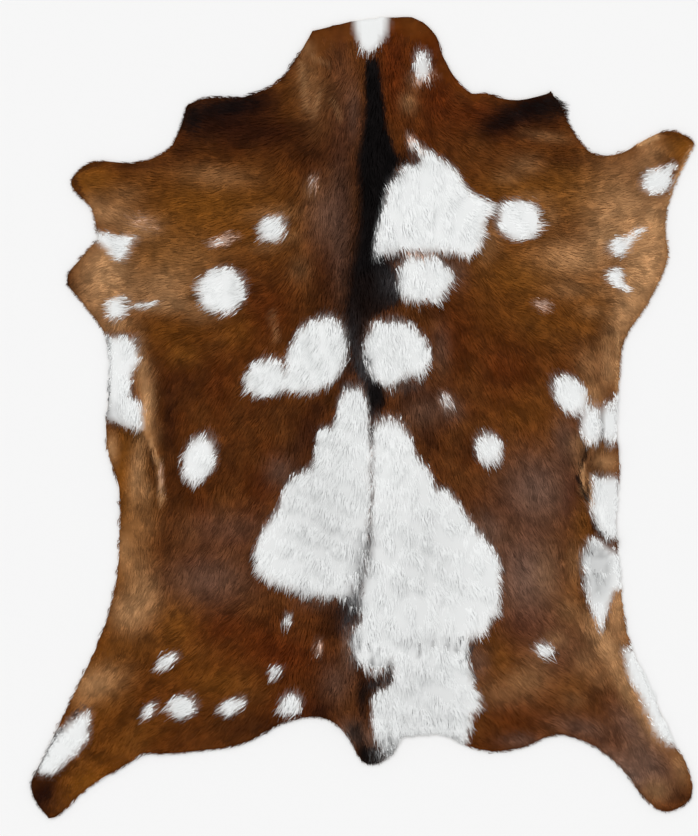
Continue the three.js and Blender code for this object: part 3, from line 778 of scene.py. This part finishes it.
# Undercoat. The dense soft down that fills the coat between the skin and the long hairs and closes
# the gaps between them. It is one thin closed layer, deepest away from the edge.
DOWN_DEPTH = 0.40
WHITE_DEPTH = 0.78
DOWN_THICK = 0.0006
DOWN_FROM = 0.001
DOWN_FULL = 0.010
LEAST_COAT = 0.0003
undercoat = bpy.data.objects.new("undercoat", hair_side_mesh)
hair_side_mesh.name = "undercoat"
bpy.context.collection.objects.link(undercoat)
places = points_of(hair_side_mesh)
above = coat_height(places[:, 0], places[:, 1]) - places[:, 2]
rim = smooth(DOWN_FROM, DOWN_FULL, inset(places[:, 0], places[:, 1]))
white = coat_tones(places[:, 0], places[:, 1])["white"]
fullness = DOWN_DEPTH * (1 - white) + WHITE_DEPTH * white
places[:, 2] += DOWN_THICK + fullness * rim * np.maximum(above, LEAST_COAT)
put_points(hair_side_mesh, places)
thicken(undercoat, "down", DOWN_THICK)
places = points_of(undercoat.data)
put_tones(undercoat.data, coat_tones(places[:, 0], places[:, 1]))
down, shade, surface = new_material("goat_down", roughness=0.95, specular=0.0)
colour, _ = coat_colour(shade)
down.node_tree.links.new(colour.bright(0.90).socket, surface.inputs["Base Color"])
undercoat.data.materials.append(down)
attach(undercoat, "root")


# Coat. The short, straight hair of the goat, lying flat on the skin like tiles: towards the tail
# along the back, outwards over the shoulders and flanks and down the legs. Each strand is a slender
# closed spindle that rises from its root to the lying surface, and carries the colour of its root.
# The way that the hair lies is given at places in pixels, in degrees from the right.
LIE = [
    (375, 25, -90), (325, 45, -70), (425, 45, -95), (330, 80, -140), (300, 70, -150),
    (345, 110, -100), (300, 120, -165), (425, 100, -75), (450, 110, -30), (372, 150, -90),
    (372, 300, -90), (372, 450, -90), (372, 600, -90), (372, 760, -88), (320, 180, -105),
    (320, 260, -102), (420, 180, -72), (430, 240, -78), (200, 120, -195), (250, 110, -190),
    (250, 180, -175), (190, 190, -180), (120, 180, -190), (85, 185, -190), (120, 225, -205),
    (250, 240, -165), (180, 240, -182), (90, 270, -150), (120, 290, -175), (180, 290, -178),
    (240, 300, -155), (190, 330, -160), (120, 340, -95), (480, 120, -10), (540, 115, -12),
    (480, 180, -20), (520, 220, -5), (580, 180, 5), (640, 160, 28), (680, 145, 30), (640, 220, 25),
    (600, 240, 10), (655, 270, -10), (600, 290, -15), (520, 280, -20), (470, 290, -48),
    (560, 320, -35), (600, 340, -70), (300, 340, -118), (260, 380, -125), (200, 380, -128),
    (150, 370, -110), (120, 400, -85), (250, 450, -118), (200, 460, -115), (160, 460, -95),
    (125, 470, -88), (330, 450, -105), (300, 520, -108), (230, 540, -122), (170, 540, -112),
    (135, 540, -95), (300, 580, -100), (240, 620, -135), (180, 620, -140), (135, 620, -110),
    (320, 680, -100), (260, 690, -140), (200, 690, -155), (150, 690, -150), (110, 680, -125),
    (80, 740, -125), (45, 800, -120), (120, 750, -140), (230, 735, -130), (340, 725, -80),
    (420, 340, -72), (480, 360, -58), (540, 380, -55), (590, 400, -78), (610, 440, -92),
    (430, 440, -70), (490, 450, -62), (550, 480, -60), (600, 500, -85), (420, 540, -78),
    (480, 580, -70), (540, 580, -55), (590, 570, -75), (612, 610, -80), (430, 640, -82),
    (470, 690, -60), (430, 710, -80), (520, 660, -30), (560, 680, -38), (600, 680, -58),
    (530, 730, -35), (480, 735, -45), (640, 700, -65), (640, 750, -52), (680, 800, -75),
    (660, 790, -70),
]
STRANDS = 140_000
SCATTER = 0.6
LONG = 0.021
SHORT = 0.014
STRAND_WIDTH = 0.0008
RIDGE = 0.14
SLEEK = 0.08
BEND_AT = 0.45
BEND = 0.0012
OVERHANG = 0.0004
SHORTFALL = 0.0024
LIE_BLUR = 0.012
lie_x, lie_y = np.array([on_hide(x, y) for x, y, _ in LIE]).T
lie_turn = np.radians([degrees for _, _, degrees in LIE])


def hair_turn(x, y):
    """Which way the hair lies at each place, as an angle from +X, smoothed from the places read."""
    ahead = np.zeros_like(x)
    aside = np.zeros_like(x)
    for cx, cy, turn in zip(lie_x, lie_y, lie_turn):
        pull = 1 / ((x - cx) ** 2 + (y - cy) ** 2 + LIE_BLUR ** 2) ** 1.5
        ahead += pull * math.cos(turn)
        aside += pull * math.sin(turn)
    return np.arctan2(aside, ahead)


draw = np.random.default_rng(11)
pitch = math.sqrt(HIDE_AREA / STRANDS)
row_x, row_y = np.meshgrid(
    np.arange(hide_low.x, hide_high.x, pitch), np.arange(hide_low.y, hide_high.y, pitch)
)
root_x = row_x.ravel() + draw.uniform(-SCATTER, SCATTER, row_x.size) * pitch
root_y = row_y.ravel() + draw.uniform(-SCATTER, SCATTER, row_x.size) * pitch
grows = inset(root_x, root_y) > EDGE_INSET
root_x, root_y = root_x[grows], root_y[grows]

# Along edges that the hair points away from, more strands grow right up to the cut.
LEE_BAND = 0.008
LEE_START = 0.0005
LEE_STEP = 0.004
LEE_RISE = 0.001
more_x = np.repeat(root_x, 2) + draw.uniform(-0.5, 0.5, 2 * len(root_x)) * pitch
more_y = np.repeat(root_y, 2) + draw.uniform(-0.5, 0.5, 2 * len(root_x)) * pitch
lee = hair_turn(more_x, more_y)
ahead = inset(more_x + LEE_STEP * np.cos(lee), more_y + LEE_STEP * np.sin(lee))
here = inset(more_x, more_y)
fills = (here < LEE_BAND) & (here > LEE_START) & (ahead > here + LEE_RISE)
root_x = np.append(root_x, more_x[fills])
root_y = np.append(root_y, more_y[fills])
total = len(root_x)

# The lie wavers a little over the hide and from strand to strand.
WAVER = 0.15
WAVER_SIZE = 0.024
SWERVE = 0.12
SWERVE_SIZE = 0.07
STRAND_TURN = 0.09
turn = hair_turn(root_x, root_y)
turn += WAVER * waves(root_x, root_y, WAVER_SIZE, 21)
turn += SWERVE * waves(root_x, root_y, SWERVE_SIZE, 22)
turn += draw.normal(0, STRAND_TURN, total)

# The hairs of one lock lean together towards their tips.
LOCK = 0.0075
GATHER = 0.30
LOCK_TURN = 0.16
SEEDS = 401
lock_column, lock_row = np.floor(root_x / LOCK).astype(int), np.floor(root_y / LOCK).astype(int)
lock_x, lock_y, lock_shade, lock_reach = (np.zeros(total) for _ in range(4))
nearest = np.full(total, FAR)
scatter = draw.uniform(0, 1, (SEEDS, SEEDS, 4))
for step_x in (-1, 0, 1):
    for step_y in (-1, 0, 1):
        drawn = scatter[(lock_column + step_x) % SEEDS, (lock_row + step_y) % SEEDS]
        seed_x = (lock_column + step_x + drawn[:, 0]) * LOCK
        seed_y = (lock_row + step_y + drawn[:, 1]) * LOCK
        apart = np.hypot(root_x - seed_x, root_y - seed_y)
        closer = apart < nearest
        nearest = np.where(closer, apart, nearest)
        lock_x, lock_y = np.where(closer, seed_x, lock_x), np.where(closer, seed_y, lock_y)
        lock_shade = np.where(closer, drawn[:, 2], lock_shade)
        lock_reach = np.where(closer, drawn[:, 3], lock_reach)
turn += LOCK_TURN * (lock_shade - 0.5)

# The coat is shorter on the legs, and a tuft of longer hair stands past the edge at the point of
# the right shoulder.
LEG_FROM = 0.20
LEG_FULL = 0.31
TUFT_SIZE = 0.012
TUFT_REACH = 0.009
SHORTEST = 0.2
TINY = 1e-6
leg = smooth(LEG_FROM, LEG_FULL, np.abs(root_x))
length = (LONG * (1 - leg) + SHORT * leg) * draw.uniform(0.75, 1.2, total)
overhang = draw.uniform(-SHORTFALL, OVERHANG, total)
tuft_x, tuft_y = on_hide(558, 106)
tuft = np.exp(-((root_x - tuft_x) ** 2 + (root_y - tuft_y) ** 2) / TUFT_SIZE ** 2)
overhang += tuft * draw.uniform(0, TUFT_REACH, total)
length *= 1 + 0.3 * tuft
rim_root = inset(root_x, root_y)
for _ in range(2):
    rim_tip = inset(root_x + np.cos(turn) * length, root_y + np.sin(turn) * length)
    past = rim_tip < -overhang
    share = (rim_root + overhang) / np.maximum(rim_root - rim_tip, TINY)
    length = np.where(past, length * np.clip(share, SHORTEST, 1), length)

# The marks are read part of the way along each strand, where it shows above its neighbours, and
# whole locks reach a little past the border of a mark or fall short of it.
SHOWN_AT = 0.6
WISP = 0.0058
STRAY = 0.0010
STRAY_SIZE = 0.013
forward_x, forward_y = np.cos(turn), np.sin(turn)
side_x, side_y = -forward_y, forward_x
aim_x = root_x + forward_x * length * SHOWN_AT
aim_y = root_y + forward_y * length * SHOWN_AT
shares = coat_tones(aim_x, aim_y)
aim_x += STRAY * waves(root_x, root_y, STRAY_SIZE, 41) + draw.normal(0, STRAY, total)
aim_y += STRAY * waves(root_x, root_y, STRAY_SIZE, 42) + draw.normal(0, STRAY, total)
wisp = WISP * (lock_reach - 0.5)
marks = coat_tones(aim_x - forward_x * wisp, aim_y - forward_y * wisp)
shares["white"], shares["pink"] = marks["white"], marks["pink"]
MARK_BAND = 0.26
BLACK_BAND = 0.3
chance = draw.uniform(0.27, 0.73, total)
for name in ("white", "pink"):
    shares[name] = smooth(chance - MARK_BAND, chance + MARK_BAND, shares[name])
by_strand = smooth(chance - BLACK_BAND, chance + BLACK_BAND, shares["black"])
shares["black"] = 0.5 * shares["black"] + 0.5 * by_strand

# Greyed hair is dark and pale hair mixed. A lock has a shade of its own, and single hairs of it
# differ from it a little. A few of the brown hairs are pale.
PALE_ONES = 0.08
PALE_BY = 0.16
plain = 0.26 - 0.11 * shares["white"]
streaky = smooth(0.02, 0.35, shares["smoke"])
mixed = 0.7 * draw.uniform(-1, 1, total) + 1.3 * (0.5 - lock_shade)
shares["smoke"] *= 1 + streaky * mixed
strand_tone = plain * draw.uniform(0, 1, total) + (1 - plain) * lock_shade
brown = (1 - shares["white"]) * (1 - shares["black"])
strand_tone += PALE_BY * (draw.uniform(0, 1, total) > 1 - PALE_ONES) * brown
strand_tone = 0.5 + (strand_tone - 0.5) * (1 + 0.1 * leg)
width = STRAND_WIDTH * draw.uniform(0.7, 1.25, total) * (1 + 0.5 * shares["white"])

# Every strand rises from the skin to the lying surface of the coat, and its tip sinks at the edge.
LEAST_DEPTH = 0.0012
TIP_RIM_FROM = -0.002
TIP_RIM_FULL = 0.02
LUMP_SIZE = 0.018
ground = LEATHER + skin_lift(root_x, root_y)
depth = np.maximum(coat_height(root_x, root_y) - ground, LEAST_DEPTH)
bend = draw.normal(0, BEND, total)
middle_x = root_x + forward_x * length * BEND_AT + side_x * bend
middle_y = root_y + forward_y * length * BEND_AT + side_y * bend
tip_x = root_x + forward_x * length + GATHER * (lock_x - root_x)
tip_y = root_y + forward_y * length + GATHER * (lock_y - root_y)
# The tips are paler or darker towards what they lie on, so the borders of the marks are soft.
TIP_BLEND = 0.6
beyond = coat_tones(tip_x, tip_y)
tip_shares = {
    tone: (1 - TIP_BLEND) * shares[tone] + TIP_BLEND * beyond[tone] for tone in TONE_NAMES
}
# White hair lies closer and smoother than brown.
loose = 0.20 - 0.15 * shares["white"]
layer = 1 - loose * draw.uniform(0, 1, total)
lump = 1 + 0.12 * waves(root_x, root_y, LUMP_SIZE, 31)
middle_z = LEATHER + skin_lift(middle_x, middle_y) + depth * layer * 0.9 * lump
tip_rim = smooth(TIP_RIM_FROM, TIP_RIM_FULL, inset(tip_x, tip_y))
tip_lift = depth * layer * (0.95 - loose * draw.uniform(0, 0.8, total)) * lump
tip_lift = tip_lift * (0.35 + 0.65 * tip_rim)
tip_z = LEATHER * tip_rim + skin_lift(tip_x, tip_y) + tip_lift

hair, shade, surface = new_material("goat_hair", roughness=0.6, specular=0.03)
colour, white = coat_colour(shade)
strand = shade.attribute("strand", ATTRIBUTE_VALUE)
reach = shade.attribute("reach", ATTRIBUTE_VALUE)
spread = 0.84 - white * 0.77
# Painted shade: each strand is darker towards its root, as if in the shade of the hair lying over
# it; the strand's own tone makes it lighter or darker as well.
root_shade_and_tone = (reach * 0.10 + 0.93) * (1 + (strand - 0.5) * spread)
hair.node_tree.links.new(colour.bright(root_shade_and_tone).socket, surface.inputs["Base Color"])
gloss = 0.64 - strand * 0.08
hair.node_tree.links.new(gloss.socket, surface.inputs["Roughness"])

# The strands are shared out over five stretches of the hide from the neck to the tail. Each strand
# has its root, the two sides and the ridge of its middle, and its tip, and six faces on them.
STRETCHES = ("neck", "shoulders", "ribs", "loins", "rump")
FACES = np.array([[0, 3, 1], [0, 2, 3], [0, 1, 2], [4, 1, 3], [4, 3, 2], [4, 2, 1]])
RIM = [(0, 1), (0, 2), (1, 4), (2, 4)]
CELL = [(0.05, 0.5), (0.5, 0.95), (0.5, 0.05), (0.5, 0.5), (0.95, 0.5)]
ROOT_DEPTH = 0.0003
order = np.argsort(-root_y)
for name, chosen in zip(STRETCHES, np.array_split(order, len(STRETCHES))):
    n = len(chosen)
    half = width[chosen] / 2
    points = np.zeros((n, 5, 3))
    points[:, 0] = np.stack([root_x, root_y, ground - ROOT_DEPTH], 1)[chosen]
    points[:, 4] = np.stack([tip_x, tip_y, tip_z], 1)[chosen]
    core = np.stack([middle_x, middle_y, middle_z], 1)[chosen]
    aside = np.stack([side_x[chosen] * half, side_y[chosen] * half, np.zeros(n)], 1)
    points[:, 1] = core + aside
    points[:, 2] = core - aside
    points[:, 3] = core
    points[:, 3, 2] += width[chosen] * (RIDGE - SLEEK * shares["white"][chosen])

    mesh = bpy.data.meshes.new("coat_" + name)
    corners = (FACES[None] + 5 * np.arange(n)[:, None, None]).reshape(-1)
    mesh.vertices.add(n * 5)
    mesh.vertices.foreach_set("co", points.ravel())
    mesh.loops.add(len(corners))
    mesh.loops.foreach_set("vertex_index", corners)
    mesh.polygons.add(n * len(FACES))
    mesh.polygons.foreach_set("loop_start", np.arange(n * len(FACES)) * 3)
    mesh.update(calc_edges=True)
    ends = np.zeros(len(mesh.edges) * 2, int)
    mesh.edges.foreach_get("vertices", ends)
    ends = np.sort(ends.reshape(-1, 2) % 5, axis=1)
    rim = np.isin(ends[:, 0] * 5 + ends[:, 1], [low * 5 + high for low, high in RIM])
    mesh.attributes.new("sharp_edge", "BOOLEAN", "EDGE").data.foreach_set("value", rim)

    # Each strand has a small square of its own on the OFBake map.
    cells = math.ceil(math.sqrt(n))
    number = corners // 5
    spot = np.array(CELL)[corners % 5]
    uv = (spot + np.stack([number % cells, number // cells], 1)) / cells
    mesh.uv_layers.new(name="OFBake").data.foreach_set("uv", uv.ravel())
    put_tones(mesh, {
        tone: np.stack([shares[tone][chosen]] * 4 + [tip_shares[tone][chosen]], 1).ravel()
        for tone in TONE_NAMES
    })
    put_attribute(mesh, "strand", "FLOAT", np.repeat(strand_tone[chosen], 5))
    put_attribute(mesh, "reach", "FLOAT", np.tile([0.0, BEND_AT, BEND_AT, BEND_AT, 1.0], n))

    coat = bpy.data.objects.new("coat_" + name, mesh)
    bpy.context.collection.objects.link(coat)
    take(coat)
    bpy.ops.object.shade_smooth()
    mesh.materials.append(hair)
    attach(coat, "root")


# Ground and light. A plain pale floor and the even light of a bright room, strongest from above
# the neck.
FLOOR_SIZE = 8
FLOOR_BELOW = 0.0002
FLOOR_TONE = (0.885, 0.885, 0.885, 1)
ROOM_LIGHT = 0.84
WINDOW_LIGHT = 0.85
bpy.ops.mesh.primitive_plane_add(size=FLOOR_SIZE, location=(0, 0, -FLOOR_BELOW))
floor = bpy.context.object
floor.name = "floor"
bpy.ops.object.transform_apply(location=True, rotation=True, scale=True)
pale, shade, surface = new_material("pale_floor", roughness=0.9, specular=0.1)
surface.inputs["Base Color"].default_value = FLOOR_TONE
floor.data.materials.append(pale)

world = bpy.data.worlds.new("room")
world.use_nodes = True
world.node_tree.nodes["Background"].inputs["Color"].default_value = (1, 1, 1, 1)
world.node_tree.nodes["Background"].inputs["Strength"].default_value = ROOM_LIGHT
bpy.context.scene.world = world
bpy.ops.object.light_add(type="SUN", rotation=(math.radians(-30), math.radians(-27), 0))
window = bpy.context.object
window.name = "window"
window.data.angle = math.radians(50)
window.data.energy = WINDOW_LIGHT
